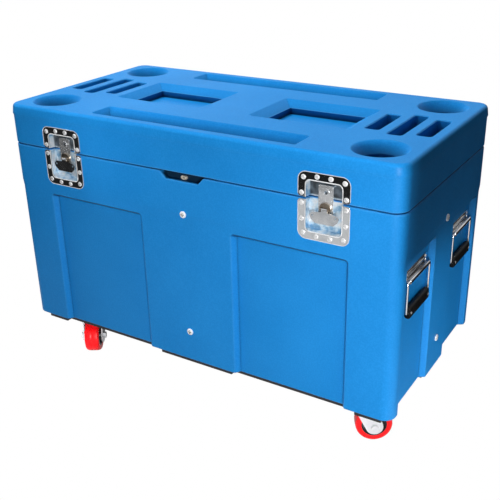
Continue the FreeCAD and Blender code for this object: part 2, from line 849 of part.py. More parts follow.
def lock_eye():
    """Small eye plate on the back of the finger notch."""
    body = plate(rounded_rect(eye_width, eye_height, (eye_height - eye_flat) / 2), eye_thickness)
    hole = rod(eye_hole, eye_thickness + 2 * over, V(0, 0, -over), V(0, 0, 1))
    return on_face(body.cut(hole), FRONT, V(0, -half_y + notch_depth, z_rim - eye_drop))


def hinge_spans(on_lid):
    """Spans of a hinge's knuckles along its pin: the tub has the outer ones."""
    pitch = hinge_width / hinge_knuckles
    start = 1 if on_lid else 0
    spans = []
    for i in range(start, hinge_knuckles, 2):
        low = -hinge_width / 2 + i * pitch
        spans.append((low + hinge_side_gap / 2, low + pitch - hinge_side_gap / 2))
    return spans


def hinge_half(on_lid):
    """Leaf with its knuckles, drawn in (across, up, outward) with the pin at height z_part."""
    sign = 1 if on_lid else -1
    near_edge = sign * (hinge_knuckle + hinge_leaf_gap)
    far_edge = sign * hinge_leaf
    height = abs(far_edge - near_edge)
    middle = z_part + (near_edge + far_edge) / 2
    solid = plate(rounded_rect(hinge_width, height, hinge_corner, 0, 0, middle), hinge_sheet)
    pieces = []
    for low, high in hinge_spans(on_lid):
        pieces.append(rod(hinge_knuckle, high - low, V(low, z_part, hinge_offset), V(1, 0, 0)))
        ends = sorted((z_part, z_part + 2 * near_edge))
        pieces.append(box(V(low, ends[0], 0), V(high, ends[1], hinge_sheet)))
    solid = solid.fuse(pieces)
    fit = running_fit if on_lid else 0.0
    bore = rod(hinge_pin + fit, 2 * hinge_width, V(-hinge_width, z_part, hinge_offset), V(1, 0, 0))
    return solid.cut(bore).removeSplitter()


def hinge_pin_solid():
    return rod(hinge_pin, hinge_width, V(-hinge_width / 2, z_part, hinge_offset), V(1, 0, 0))


# Handle pieces are drawn in (across, up, outward) with the panel floor at 0.


def handle_plate():
    """Chrome plate with a raised middle and a rolled barrel for the bail."""
    low = z_bail - barrel_radius
    middle = low + plate_height / 2
    solid = plate(rounded_rect(plate_width, plate_height, plate_corner, 0, 0, middle), plate_thickness)
    raised_width = plate_width - 4 * handle_rivet_edge
    raised_height = plate_height - 2 * barrel_radius - handle_rivet_edge
    raised_middle = z_bail + barrel_radius + raised_height / 2
    foot = rounded_rect(raised_width, raised_height, emboss_corner, plate_thickness, 0, raised_middle)
    crest = rounded_rect(raised_width - 2 * plate_emboss, raised_height - 2 * plate_emboss,
                         emboss_corner - plate_emboss, plate_thickness + plate_emboss, 0, raised_middle)
    length = bail_width - 2 * (bail_bend + bail_side_gap)
    axis = V(-length / 2, z_bail, barrel_standoff)
    barrel = rod(barrel_radius, length, axis, V(1, 0, 0))
    web = box(V(-length / 2, z_bail - barrel_radius, 0), V(length / 2, z_bail, barrel_standoff))
    bore = rod(bail_wire + running_fit, 2 * length, V(-length, z_bail, barrel_standoff), V(1, 0, 0))
    return solid.fuse([loft([foot, crest]), barrel, web]).cut(bore).removeSplitter()


def bail_elbow():
    """Quarter bend of the wire about the origin, from +X round to +Y."""
    section = []
    for i in range(bail_bend_sides + 1):
        angle = math.radians(360.0 * i / bail_bend_sides)
        section.append(V(bail_bend + bail_wire * math.cos(angle), 0, bail_wire * math.sin(angle)))
    return Part.Face(Part.makePolygon(section)).revolve(V(0, 0, 0), V(0, 0, 1), 90)


def handle_bail():
    """Closed wire loop: one side runs in the barrel, the other in the grip."""
    straight = bail_width / 2 - bail_bend
    low = z_bail - bail_drop
    solids = []
    for z in (z_bail, low):
        solids.append(rod(bail_wire, 2 * straight, V(-straight, z, barrel_standoff), V(1, 0, 0)))
    for x in (bail_width / 2, -bail_width / 2):
        foot = V(x, low + bail_bend, barrel_standoff)
        solids.append(rod(bail_wire, bail_drop - 2 * bail_bend, foot, V(0, 1, 0)))
    corners = [(straight, z_bail - bail_bend), (-straight, z_bail - bail_bend), (-straight, low + bail_bend),
               (straight, low + bail_bend)]
    for i, (x, z) in enumerate(corners):
        solids.append(moved(turned(bail_elbow(), 90 * i), V(x, z, barrel_standoff)))
    return solids[0].fuse(solids[1:]).removeSplitter()


def handle_grip():
    """Black moulded grip round the lower wire."""
    length = bail_width - 2 * (bail_bend + bail_side_gap)
    low = z_bail - bail_drop
    outline = rounded_rect(grip_thickness, grip_height, (grip_thickness - grip_flat) / 2)
    body = plate(outline, length)
    ends = edges_where(body, lambda p: near(p.z, 0) or near(p.z, length))
    body = body.makeChamfer(grip_bevel, ends)
    body = body.cut(rod(bail_wire + running_fit, length + 2 * over, V(0, 0, -over), V(0, 0, 1)))
    body.rotate(V(0, 0, 0), V(0, 1, 0), 90)
    return moved(body, V(-length / 2, low, barrel_standoff))


def handle_spots():
    """Face and origin of each handle, by name."""
    floor = low_x - panel_depth
    spots = {}
    for end, side in (("right", RIGHT), ("left", LEFT)):
        for place, y in (("front", -handle_y), ("rear", handle_y)):
            spots[end + "_" + place] = (side, side[1] * floor + V(0, y, 0))
    return spots


def handle_rivets():
    rivets = []
    u = plate_width / 2 - handle_rivet_edge
    low = z_bail - barrel_radius + plate_height - handle_rivet_edge
    for side, origin in handle_spots().values():
        for x in (u, -u):
            for z in (low, low - plate_height / 3):
                head = moved(stud_head(handle_rivet_radius, handle_rivet_height), V(x, z, plate_thickness))
                rivets.append(on_face(head, side, origin))
    return Part.makeCompound(rivets)


# Caster pieces are drawn round the swivel axis, trailing towards +X.


def caster_plate():
    """Top plate with bolt holes, the upper race and the kingpin."""
    z = caster_height - caster_plate_thickness
    outline = rounded_rect(caster_plate_length, caster_plate_width, caster_plate_corner, z)
    holes = [rod(caster_hole_radius, caster_plate_thickness, spot + V(0, 0, z), V(0, 0, 1))
             for spot in caster_hole_spots()]
    top = plate(outline, caster_plate_thickness).cut(holes)
    z_race = z - plate_race
    race = Part.makeCone(plate_race_radius, plate_race_radius - plate_race_draft, plate_race, V(0, 0, z_race),
                         V(0, 0, 1))
    z_crown = 2 * wheel_radius + crown_clearance
    z_head = z_crown - race_gap - kingpin_head
    kingpin = rod(kingpin_radius, z_race - z_head, V(0, 0, z_head), V(0, 0, 1))
    head = rod(kingpin_head_radius, kingpin_head, V(0, 0, z_head), V(0, 0, 1))
    return top.fuse([race, kingpin, head]).removeSplitter()


def touch_point(point, centre, radius, side):
    """Where the line from a point touches a circle, on its left (1) or right (-1) as seen from the point."""
    reach = math.hypot(centre[0] - point[0], centre[1] - point[1])
    lean = math.atan2(centre[1] - point[1], centre[0] - point[0]) + side * math.asin(radius / reach)
    length = math.sqrt(reach ** 2 - radius ** 2)
    return point[0] + length * math.cos(lean), point[1] + length * math.sin(lean)


def fork_leg():
    """One leg: its sides run from the crown onto a round end about the axle."""
    z_leg = 2 * wheel_radius + crown_clearance + crown_thickness
    axle = (trail, wheel_radius)
    back = (-leg_back, z_leg)
    front = (leg_front, z_leg)
    back_touch = V(*touch_point(back, axle, leg_end_radius, -1), 0)
    front_touch = V(*touch_point(front, axle, leg_end_radius, 1), 0)
    lowest = V(trail, wheel_radius - leg_end_radius, 0)
    edges = [Part.LineSegment(V(*back, 0), V(*front, 0)), Part.LineSegment(V(*front, 0), front_touch),
             Part.Arc(front_touch, lowest, back_touch), Part.LineSegment(back_touch, V(*back, 0))]
    leg = plate(Part.Wire([edge.toShape() for edge in edges]), leg_thickness)

    def at_corner(p):
        return near(p.y, z_leg) and (near(p.x, -leg_back) or near(p.x, leg_front))

    leg = leg.makeFillet(leg_corner, edges_where(leg, at_corner))
    leg.rotate(V(0, 0, 0), V(1, 0, 0), 90)
    return leg


def caster_fork():
    """Pressed fork: crown with the lower race, two tapered legs with round ends."""
    z_crown = 2 * wheel_radius + crown_clearance
    z_top_face = z_crown + crown_thickness
    inner = hub_width / 2 + leg_gap
    legs = [moved(fork_leg(), V(0, y, 0)) for y in (-inner, inner + leg_thickness)]
    half = inner + leg_thickness
    length = leg_front + leg_back - crown_corner
    crown_middle = (leg_front - leg_back) / 2
    crown = plate(rounded_rect(length, 2 * half, crown_corner, z_crown, crown_middle), crown_thickness)
    race = rod(fork_race_radius, fork_race, V(0, 0, z_top_face), V(0, 0, 1))
    fork = crown.fuse(legs + [race])
    kingpin_hole = rod(kingpin_radius + running_fit, caster_height, V(0, 0, z_crown - over), V(0, 0, 1))
    axle_hole = rod(axle_radius + running_fit, 4 * half, V(trail, -2 * half, wheel_radius), V(0, 1, 0))
    return fork.cut([kingpin_hole, axle_hole]).removeSplitter()


def on_axle(shape):
    """Turn a piece drawn about Z onto the axle."""
    placed = shape.copy()
    placed.rotate(V(0, 0, 0), V(1, 0, 0), 90)
    return moved(placed, V(trail, 0, wheel_radius))


def caster_axle():
    """Axle bolt with its head and nut outside the legs."""
    half = hub_width / 2 + leg_gap + leg_thickness
    shank = rod(axle_radius, 2 * (half + axle_head), V(0, 0, -half - axle_head), V(0, 0, 1))
    head = moved(hexagon(axle_head_radius, axle_head), V(0, 0, half))
    nut = moved(hexagon(axle_head_radius, axle_head), V(0, 0, -half - axle_head))
    return on_axle(shank.fuse([head, nut]).removeSplitter())


def wheel_core():
    """Black wheel centre: hub, dished web and rim."""
    bore = axle_radius + running_fit
    hub = hub_width / 2
    web = core_web_width / 2
    rim = core_rim_width / 2
    inside = core_radius - core_rim
    upper = [(bore, hub), (hub_radius, hub), (hub_radius + hub_draft, web), (inside - hub_draft, web),
             (inside, rim), (core_radius, rim)]
    return on_axle(revolve(upper + [(r, -z) for r, z in reversed(upper)]))


def wheel_tyre():
    """Red tread with eased shoulders."""
    half = tyre_width / 2
    ease = tyre_shoulder
    bore = core_radius + core_fit
    upper = [(bore, half - core_rim / 2), (wheel_radius - ease, half),
             (wheel_radius - ease / 4, half - ease / 2), (wheel_radius, half - 1.5 * ease)]
    return on_axle(revolve(upper + [(r, -z) for r, z in reversed(upper)]))


def nodes():
    """Every piece of the case by name."""
    pieces = {
        "base_tub": base_tub(),
        "lid_shell": lid_shell(),
        "lid_seal": lid_seal(),
        "caster_board": caster_board(),
        "rib_screws": rib_screws(),
        "caster_bolts": caster_bolts(),
        "tub_rivets": shell_rivets(False),
        "lid_rivets": shell_rivets(True),
        "handle_rivets": handle_rivets(),
        "lock_eye": lock_eye(),
    }
    latch_pieces = {
        "latch_dish": latch_dish(),
        "latch_keeper": latch_keeper(),
        "latch_hook": latch_hook(),
        "latch_cam": latch_cam(),
        "latch_wing": latch_wing(),
    }
    hinge_pieces = {
        "hinge_tub_leaf": hinge_half(False),
        "hinge_lid_leaf": hinge_half(True),
        "hinge_pin": hinge_pin_solid(),
    }
    for end, sign in SIGNS.items():
        for name, shape in latch_pieces.items():
            pieces[name + "_" + end] = on_face(shape, FRONT, V(sign * latch_x, -half_y, 0))
        for name, shape in hinge_pieces.items():
            pieces[name + "_" + end] = on_face(shape, REAR, V(sign * hinge_x, half_y, 0))
    handle_pieces = {
        "handle_plate": handle_plate(),
        "handle_bail": handle_bail(),
        "handle_grip": handle_grip(),
    }
    for place, (side, origin) in handle_spots().items():
        for name, shape in handle_pieces.items():
            pieces[name + "_" + place] = on_face(shape, side, origin)
    swivelling = {
        "caster_fork": caster_fork(),
        "caster_axle": caster_axle(),
        "wheel_core": wheel_core(),
        "wheel_tyre": wheel_tyre(),
    }
    top_plate = caster_plate()
    for place, spot in caster_spots().items():
        pieces["caster_plate_" + place] = moved(top_plate, spot)
        for name, shape in swivelling.items():
            pieces[name + "_" + place] = moved(turned(shape, caster_heading[place]), spot)
    return pieces


os.makedirs("parts", exist_ok=True)
for node, solid in nodes().items():
    solid.exportStep("parts/" + node + ".step")
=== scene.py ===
"""Looks of the flight case: materials, rounded edges, fasteners, studio light and the camera.

Metres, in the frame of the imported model: +X along the case, the front faces -Y, +Z up.
"""
import json
import math

import bmesh
import bpy
from mathutils import Matrix, Quaternion, Vector


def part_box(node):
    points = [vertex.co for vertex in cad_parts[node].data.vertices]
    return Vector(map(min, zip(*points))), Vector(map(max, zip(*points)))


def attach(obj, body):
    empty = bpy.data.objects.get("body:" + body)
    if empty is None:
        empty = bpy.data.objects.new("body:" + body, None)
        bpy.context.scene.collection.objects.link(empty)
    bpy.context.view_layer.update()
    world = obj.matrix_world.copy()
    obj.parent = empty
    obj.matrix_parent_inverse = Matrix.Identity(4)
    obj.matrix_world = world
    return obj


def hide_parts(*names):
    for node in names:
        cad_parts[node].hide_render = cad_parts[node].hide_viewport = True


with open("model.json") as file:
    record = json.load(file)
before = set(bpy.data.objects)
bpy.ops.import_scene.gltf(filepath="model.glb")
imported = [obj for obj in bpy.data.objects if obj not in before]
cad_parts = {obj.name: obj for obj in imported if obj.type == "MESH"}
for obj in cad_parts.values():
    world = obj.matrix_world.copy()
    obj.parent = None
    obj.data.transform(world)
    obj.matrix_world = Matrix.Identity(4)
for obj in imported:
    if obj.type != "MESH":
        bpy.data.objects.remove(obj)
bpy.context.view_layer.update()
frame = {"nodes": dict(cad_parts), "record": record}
NODES = frame["nodes"]
BEHAVIOUR = frame["record"]["behaviour"]
BODY_OF = {node: body for body, group in BEHAVIOUR["bodies"].items() for node in group}
JOINTS = {joint["name"]: joint for joint in BEHAVIOUR["joints"]}
SLOT_OF = {part["node"]: part["material_slot"] for part in frame["record"]["subparts"]}
ENDS = ("right", "left")
HANDLES = ("right_front", "right_rear", "left_front", "left_rear")
CASTERS = ("front_right", "front_left", "rear_right", "rear_left")

# Camera: viewing angle, distance and lens of the photograph
CAMERA_PLACE = (1.1600, -1.8372, 1.3617)
CAMERA_AZIMUTH = 32.03
CAMERA_ELEVATION = 24.40
CAMERA_ROLL = -1.26
CAMERA_LENS = 57.42

# Areas of light that the camera doesn't see: (place, aim, width, depth, spread in degrees, power)
LIGHTS = {
    "overhead": ((0.00, 0.10, 3.60), (0.00, 0.10, 0.00), 1.40, 1.40, 180, 34.0),
    "high_left": ((-2.75, -0.75, 4.90), (0.00, 0.00, 0.80), 1.20, 1.20, 180, 172.0),
    "key": ((1.30, -1.75, 0.80), (0.10, -0.30, 0.50), 0.40, 0.40, 180, 28.0),
    "front_low": ((0.20, -2.20, 0.42), (0.10, -0.30, 0.44), 0.50, 0.50, 180, 2.6),
    "lid_left": ((-0.50, -1.60, 1.20), (-0.28, -0.305, 0.78), 0.20, 0.20, 24, 0.10),
    "lid_right": ((0.55, -1.30, 1.25), (0.45, -0.305, 0.76), 0.20, 0.20, 30, 0.04),
    "beside": ((0.80, -0.10, 0.012), (0.80, -0.10, 2.00), 0.30, 0.70, 180, 0.9),
    "low_right": ((1.40, -0.60, 0.05), (0.60, -0.14, 0.20), 0.40, 0.30, 38, 0.20),
    "wheel_left": ((-0.42, -0.95, 0.03), (-0.475, -0.20, 0.055), 0.06, 0.06, 11, 0.045),
    "wheel_right": ((0.75, -0.95, 0.03), (0.475, -0.20, 0.055), 0.06, 0.06, 11, 0.030),
    "behind": ((-2.20, 2.40, 1.60), (0.00, 0.00, 0.50), 1.20, 1.20, 180, 40.0),
}
GLOSSY_LIGHTS = ("key",)        # the lights that show in reflections
AMBIENT = 0.04
# What polished metal reflects: (share of the way from straight down to straight up, brightness)
SKY = ((0.50, 0.02), (0.58, 0.06), (0.66, 0.80), (0.80, 1.05), (1.00, 0.90))
FLAG_LOW = (0.665, 0.585)       # shade between the key light and the right end: corners in X and Z
FLAG_HIGH = (1.10, 1.10)
FLAG_Y = -0.42
CARD_LOW = (-1.30, -1.967)      # white card on the floor, seen only in reflections: corners in X and Y
CARD_HIGH = (2.60, -0.10)
CARD_HEIGHT = 0.001
CARD_GLOW = 0.65
FLOOR_RADIUS = 40.0
FLOOR_SIDES = 64
FLOOR_GREY = 0.20
FLOOR_ROUGHNESS = 0.9

# Values between which most of a noise lies
NOISE_LOW = 0.3
NOISE_HIGH = 0.7
OCCLUSION_SAMPLES = 8

# Blue plastic: two tones of cloud, flecks between them, painted highlights on the edges and painted shade
# in the creases
SHELL_SHINE = 0.15
SHELL_CLOUD = (5.0, 4.0)        # noises: scale per metre, detail
SHELL_GRAIN = (900.0, 2.0)
SHELL_WAVE = (16.0, 2.0)
SHELL_MOTTLE = (240.0, 2.0)
WAVE_RELIEF = (0.10, 0.004)     # bumps: strength, distance
GRAIN_RELIEF = (0.10, 0.0006)
SHELL_TONES = ((0.006, 0.228, 0.640), (0.010, 0.256, 0.695))
FLECK_TONES = ((0.010, 0.256, 0.680), (0.015, 0.284, 0.735))
FLECK_SHARE = (0.42, 0.62)
SHELL_ROUGHNESS = (0.36, 0.50)
# painted highlight: the paler blue painted on rims and outer edges
EDGE_HIGHLIGHT = (0.100, 0.390, 0.820)
EDGE_HIGHLIGHT_REACH = 0.0034
EDGE_HIGHLIGHT_SHARE = (0.96, 0.70)     # open share where plain, where highlighted
# painted shade: the dark blue painted into corners, creases, the lid's pockets and slopes that look down
PAINTED_SHADE = (0.004, 0.050, 0.135)
PAINTED_SHADE_LAYERS = ((0.009, 0.58, 0.92), (0.050, 0.00, 0.50))    # reach, open share where dark, where clear
# Shade in the lid's pockets, under slopes and in the finger notch. Each pair goes from clear to dark
POCKET_LIMITS = {"X": (0.584, 0.574), "Y": (0.294, 0.286)}      # distances from the middle
POCKET_DEPTHS = (0.815, 0.790)
POCKET_STEEP = (0.92, 0.76)     # Z of the normal: walls, but not floors
POCKET_OUTER = (-0.06, -0.01)   # Z of the normal: not the lid's underside
OVERHANG = (-0.10, -0.85)       # Z of the normal
NOTCH_WIDTH = (0.066, 0.060)    # distance from the middle
NOTCH_LIMITS = (("Y", (-0.304, -0.296)), ("Y", (-0.284, -0.287)), ("Z", (0.684, 0.690)))
NOTCH_DARK = (0.004, 0.022, 0.050)

# Plated metal and moulded plastic
METAL_SMUDGE = (30.0, 4.0)      # noises: scale per metre, detail
LATCH_SMUDGE = (45.0, 4.0)
MOULDED_CLOUD = (40.0, 4.0)
METAL_GRAIN = 260.0
METAL_DETAIL = (3.0, 0.6)       # detail, roughness of the noise
METAL_RELIEF = 0.06
METAL_DEPTH = 0.0003
LATCH_RELIEF = 0.02
MOULDED_RELIEF = 0.15

# Latch: where the dish starts and ends in Y, where the painted shade on its back starts in Z, and its
# tones: the flange's own, painted reflections inside the dish, painted shade on the back
DISH_START = (-0.3045, -0.3030)
DISH_BACK = (-0.2925, -0.2895)
LATCH_SPLIT = JOINTS["lid_hinge"]["pos_m"][2]
DARK_ABOVE = (LATCH_SPLIT + 0.003, LATCH_SPLIT + 0.008)
LATCH_POLISHED = ((0.30, (0.60, 0.62, 0.64)), (0.70, (0.70, 0.72, 0.74)))
DISH_PAINTED_REFLECTION = ((0.38, (0.24, 0.46, 0.68)), (0.48, (0.64, 0.81, 0.94)), (0.62, (0.92, 0.96, 1.00)))
BACK_PAINTED_SHADE = ((0.40, (0.05, 0.06, 0.07)), (0.65, (0.16, 0.20, 0.24)))
LATCH_FINISH = (("Metallic", 1.0, 0.55), ("Roughness", 0.05, 0.28))    # on the flange, inside the dish
# painted shade: the dark grey painted into the screws' cross recesses
RECESS_SHADE = (0.03, 0.03, 0.035)
SCREW_RECESS_SHADE = ((0.003, 0.35, 0.80),)

# Rounded edges: widths by the start of a node's name, and how they are made
EDGE_WIDTHS = {"base_tub": 0.0015, "lid_shell": 0.002, "caster_board": 0.002, "latch_": 0.0006,
               "handle_": 0.0008, "hinge_": 0.0006, "caster_": 0.001, "wheel_": 0.0015, "lock_eye": 0.0006,
               "lid_seal": 0.0005, "rib_": 0.001, "tub_": 0.0008, "lid_rivets": 0.0008}
EDGE_ANGLE = 32.0
EDGE_STEPS = 2
WELD_GAP = 2e-5
FLAT_ANGLE = 0.3

# Small hardware: heads as (radius, height) shares
DOME = ((0.00, 0.00), (1.00, 0.00), (1.00, 0.20), (0.97, 0.38),
        (0.88, 0.60), (0.70, 0.80), (0.44, 0.94), (0.00, 1.00))
PAN = ((0.00, 0.00), (1.00, 0.00), (1.00, 0.30), (0.96, 0.55),
       (0.86, 0.78), (0.66, 0.93), (0.36, 0.99), (0.00, 1.00))
HEAD_SIDES = 24
SMALL_SIDES = 12
NUT_SIDES = 6
SHARP_ANGLE = 35
MATCH_DIGITS = 5                # decimals of a metre to which the corners of joined faces agree
SCREW_HEAD = 0.0045
SCREW_SHANK = 0.003
SCREW_NUT = (0.0065, 0.005)     # radius, height
CROSS = (1.15, 0.24, 0.60)      # arm length and width to the head's radius, depth to its height
GRIP_SCREW = (0.0034, 0.0012)   # radius, height
GRIP_SCREW_INSET = 0.008
GRIP_SCREW_SINK = 0.0003
LATCH_FLANGE = 0.019
LATCH_CORNER = 0.020
LATCH_SPLIT_CORNER = 0.006
DISH_CORNER = 0.012
OUTER_BEAD = 0.0009
DISH_BEAD = 0.0013
BEAD_SIDES = 8
ARC_STEPS = 8
# Half of the tyre's section: (radius, distance from the middle)
TYRE_PROFILE = ((0.03405, 0.0210), (0.0425, 0.0230), (0.0447, 0.0226), (0.0466, 0.0212), (0.0481, 0.0190),
                (0.0492, 0.0160), (0.0498, 0.0120), (0.0500, 0.0070), (0.0500, 0.0009), (0.0497, 0.0005))
TYRE_SIDES = 72
TYRE_SHARP = 60
BOARD_GROWTH = 0.004            # how far the board's black edge strip stands out
BOARD_CORE = (0.53, 0.235)      # outside these distances from the middle lies only the board's edge


def node_kit(holder):
    """Short ways to add and link nodes in a material or a world."""
    tree = holder.node_tree

    def add(kind, inputs=None, **settings):
        node = tree.nodes.new(kind)
        for name, value in settings.items():
            setattr(node, name, value)
        for name, value in (inputs or {}).items():
            node.inputs[name].default_value = value
        return node

    def link(source, target):
        tree.links.new(source, target)

    return add, link


def new_material(name, **sockets):
    """Principled material with constant sockets set, its shader and its node tools."""
    material = bpy.data.materials.new(name)
    material.use_nodes = True
    shader = material.node_tree.nodes["Principled BSDF"]
    for socket, value in sockets.items():
        shader.inputs[socket.replace("_", " ")].default_value = value
    add, link = node_kit(material)
    return material, shader, add, link


def noise(add, link, scale, detail=3.0, roughness=0.5, stretch=(1, 1, 1)):
    """Noise in object space, so that it rides with its piece. Scale is per metre."""
    place = add("ShaderNodeTexCoord")
    mapping = add("ShaderNodeMapping", {"Scale": stretch})
    texture = add("ShaderNodeTexNoise", {"Scale": scale, "Detail": detail, "Roughness": roughness})
    link(place.outputs["Object"], mapping.inputs["Vector"])
    link(mapping.outputs["Vector"], texture.inputs["Vector"])
    return texture.outputs["Fac"]


def ramp(add, link, source, stops):
    """Colour ramp over (position, colour) stops."""
    node = add("ShaderNodeValToRGB")
    elements = node.color_ramp.elements
    while len(elements) < len(stops):
        elements.new(0.5)
    for element, (position, colour) in zip(elements, stops):
        element.position = position
        element.color = (*colour, 1.0)
    link(source, node.inputs["Fac"])
    return node.outputs["Color"]


def tones(add, link, source, low, high):
    """Two colours mixed by a noise."""
    return ramp(add, link, source, ((NOISE_LOW, low), (NOISE_HIGH, high)))


def spread(add, link, source, low, high):
    """Map a noise onto a range."""
    node = add("ShaderNodeMapRange", {"From Min": NOISE_LOW, "From Max": NOISE_HIGH,
                                      "To Min": low, "To Max": high})
    link(source, node.inputs["Value"])
    return node.outputs["Result"]


def bump(add, link, layers):
    """Stack bump layers of (height, strength, distance) and return the normal."""
    normal = None
    for height, strength, distance in layers:
        node = add("ShaderNodeBump", {"Strength": strength, "Distance": distance})
        link(height, node.inputs["Height"])
        if normal:
            link(normal, node.inputs["Normal"])
        normal = node.outputs["Normal"]
    return normal


def within(add, link, value, low, high):
    """Share from 0 to 1 as a value goes from low to high."""
    node = add("ShaderNodeMapRange", {"From Min": low, "From Max": high}, clamp=True)
    link(value, node.inputs["Value"])
    return node.outputs["Result"]


def times(add, link, values):
    """Product of several shares."""
    product = values[0]
    for value in values[1:]:
        node = add("ShaderNodeMath", operation="MULTIPLY")
        link(product, node.inputs[0])
        link(value, node.inputs[1])
        product = node.outputs[0]
    return product


def blend(add, link, share, first, second):
    """Mix two colours by a share, each a socket or a constant."""
    mix = add("ShaderNodeMix", data_type="RGBA")
    link(share, mix.inputs["Factor"])
    for socket, colour in ((mix.inputs["A"], first), (mix.inputs["B"], second)):
        if isinstance(colour, tuple):
            socket.default_value = (*colour, 1.0)
        else:
            link(colour, socket)
    return mix.outputs["Result"]


def axes_of(add, link, vector):
    """X, Y and Z of a vector."""
    node = add("ShaderNodeSeparateXYZ")
    link(vector, node.inputs[0])
    return node.outputs


def from_middle(add, link, value):
    """Distance from the middle along one axis."""
    node = add("ShaderNodeMath", operation="ABSOLUTE")
    link(value, node.inputs[0])
    return node.outputs[0]


def paint_shade(add, link, colour, dark, layers):
    """Painted shade: darken a colour where corners close in, by layers of (reach, open share where dark,
    where clear).
    """
    for reach, low, high in layers:
        hollow = add("ShaderNodeAmbientOcclusion", {"Distance": reach}, samples=OCCLUSION_SAMPLES,
                     only_local=True)
        colour = blend(add, link, within(add, link, hollow.outputs["AO"], low, high), dark, colour)
    return colour


def paint_edge_highlight(add, link, colour):
    """Painted highlight: lighten the rims and outer edges."""
    edge = add("ShaderNodeAmbientOcclusion", {"Distance": EDGE_HIGHLIGHT_REACH}, samples=OCCLUSION_SAMPLES,
               inside=True, only_local=True)
    return blend(add, link, within(add, link, edge.outputs["AO"], *EDGE_HIGHLIGHT_SHARE), colour, EDGE_HIGHLIGHT)


def pocket_shade(add, link, colour):
    """Darken the steep walls of the lid's pockets towards their floors."""
    place = add("ShaderNodeTexCoord")
    spot = axes_of(add, link, place.outputs["Object"])
    up = axes_of(add, link, place.outputs["Normal"])["Z"]
    shares = [within(add, link, up, *POCKET_STEEP), within(add, link, up, *POCKET_OUTER),
              within(add, link, spot["Z"], *POCKET_DEPTHS)]
    for axis, limits in POCKET_LIMITS.items():
        shares.append(within(add, link, from_middle(add, link, spot[axis]), *limits))
    return blend(add, link, times(add, link, shares), colour, PAINTED_SHADE)


def overhang_shade(add, link, colour):
    """Darken the slopes that look down, such as the panels' upper borders, and the finger notch's back."""
    place = add("ShaderNodeTexCoord")
    spot = axes_of(add, link, place.outputs["Object"])
    up = axes_of(add, link, place.outputs["Normal"])["Z"]
    colour = blend(add, link, within(add, link, up, *OVERHANG), colour, PAINTED_SHADE)
    shares = [within(add, link, from_middle(add, link, spot["X"]), *NOTCH_WIDTH)]
    shares += [within(add, link, spot[axis], *limits) for axis, limits in NOTCH_LIMITS]
    return blend(add, link, times(add, link, shares), colour, NOTCH_DARK)


def blue_shell(name, shade):
    """Roto-moulded plastic: fine grain, soft waviness, painted highlights on the edges, painted shade in
    corners and recesses.
    """
    material, shader, add, link = new_material(name, Specular_IOR_Level=SHELL_SHINE)
    cloud = noise(add, link, *SHELL_CLOUD)
    grain = noise(add, link, *SHELL_GRAIN)
    wave = noise(add, link, *SHELL_WAVE)
    mottle = noise(add, link, *SHELL_MOTTLE)
    plain = tones(add, link, cloud, *SHELL_TONES)
    fleck = tones(add, link, cloud, *FLECK_TONES)
    colour = blend(add, link, within(add, link, mottle, *FLECK_SHARE), plain, fleck)
    colour = paint_edge_highlight(add, link, colour)
    colour = paint_shade(add, link, colour, PAINTED_SHADE, PAINTED_SHADE_LAYERS)
    link(shade(add, link, colour), shader.inputs["Base Color"])
    link(spread(add, link, grain, *SHELL_ROUGHNESS), shader.inputs["Roughness"])
    link(bump(add, link, [(wave, *WAVE_RELIEF), (grain, *GRAIN_RELIEF)]), shader.inputs["Normal"])
    return material


def metal(name, low, high, roughness, scale=METAL_GRAIN, metallic=1.0, relief=METAL_RELIEF, grime=(),
          streaks=(1, 1, 1)):
    """Plated metal between two tones, with a fine grain, smudges and painted shade in its corners.
    Stretched smudges give bands of painted reflection.
    """
    material, shader, add, link = new_material(name, Metallic=metallic)
    smudge = noise(add, link, *METAL_SMUDGE, stretch=streaks)
    fine = noise(add, link, scale, *METAL_DETAIL)
    colour = paint_shade(add, link, tones(add, link, smudge, low, high), RECESS_SHADE, grime)
    link(colour, shader.inputs["Base Color"])
    link(spread(add, link, smudge, *roughness), shader.inputs["Roughness"])
    link(bump(add, link, [(fine, relief, METAL_DEPTH)]), shader.inputs["Normal"])
    return material


def latch_metal(name):
    """Polished flange; inside the dish a paler, rougher finish with painted reflections in blue and white
    tones, and painted shade on the back behind the hook.
    """
    material, shader, add, link = new_material(name)
    spot = axes_of(add, link, add("ShaderNodeTexCoord").outputs["Object"])
    inside = within(add, link, spot["Y"], *DISH_START)
    back = times(add, link, [within(add, link, spot["Y"], *DISH_BACK),
                             within(add, link, spot["Z"], *DARK_ABOVE)])
    smudge = noise(add, link, *LATCH_SMUDGE)
    fine = noise(add, link, METAL_GRAIN, *METAL_DETAIL)
    polished = ramp(add, link, smudge, LATCH_POLISHED)
    # painted reflection inside the dish, painted shade on the back behind the hook
    reflection_tones = ramp(add, link, smudge, DISH_PAINTED_REFLECTION)
    dark = ramp(add, link, smudge, BACK_PAINTED_SHADE)
    colour = blend(add, link, back, blend(add, link, inside, polished, reflection_tones), dark)
    link(colour, shader.inputs["Base Color"])
    for socket, flange, dish in LATCH_FINISH:
        share = add("ShaderNodeMapRange", {"To Min": flange, "To Max": dish})
        link(inside, share.inputs["Value"])
        link(share.outputs["Result"], shader.inputs[socket])
    link(bump(add, link, [(fine, LATCH_RELIEF, METAL_DEPTH)]), shader.inputs["Normal"])
    return material


def moulded(name, low, high, roughness, grain_scale=700.0, grain_depth=0.0004, shine=0.45):
    """Plastic or rubber with a fine grain."""
    material, shader, add, link = new_material(name, Specular_IOR_Level=shine)
    cloud = noise(add, link, *MOULDED_CLOUD)
    grain = noise(add, link, grain_scale)
    link(tones(add, link, cloud, low, high), shader.inputs["Base Color"])
    link(spread(add, link, cloud, *roughness), shader.inputs["Roughness"])
    link(bump(add, link, [(grain, MOULDED_RELIEF, grain_depth)]), shader.inputs["Normal"])
    return material


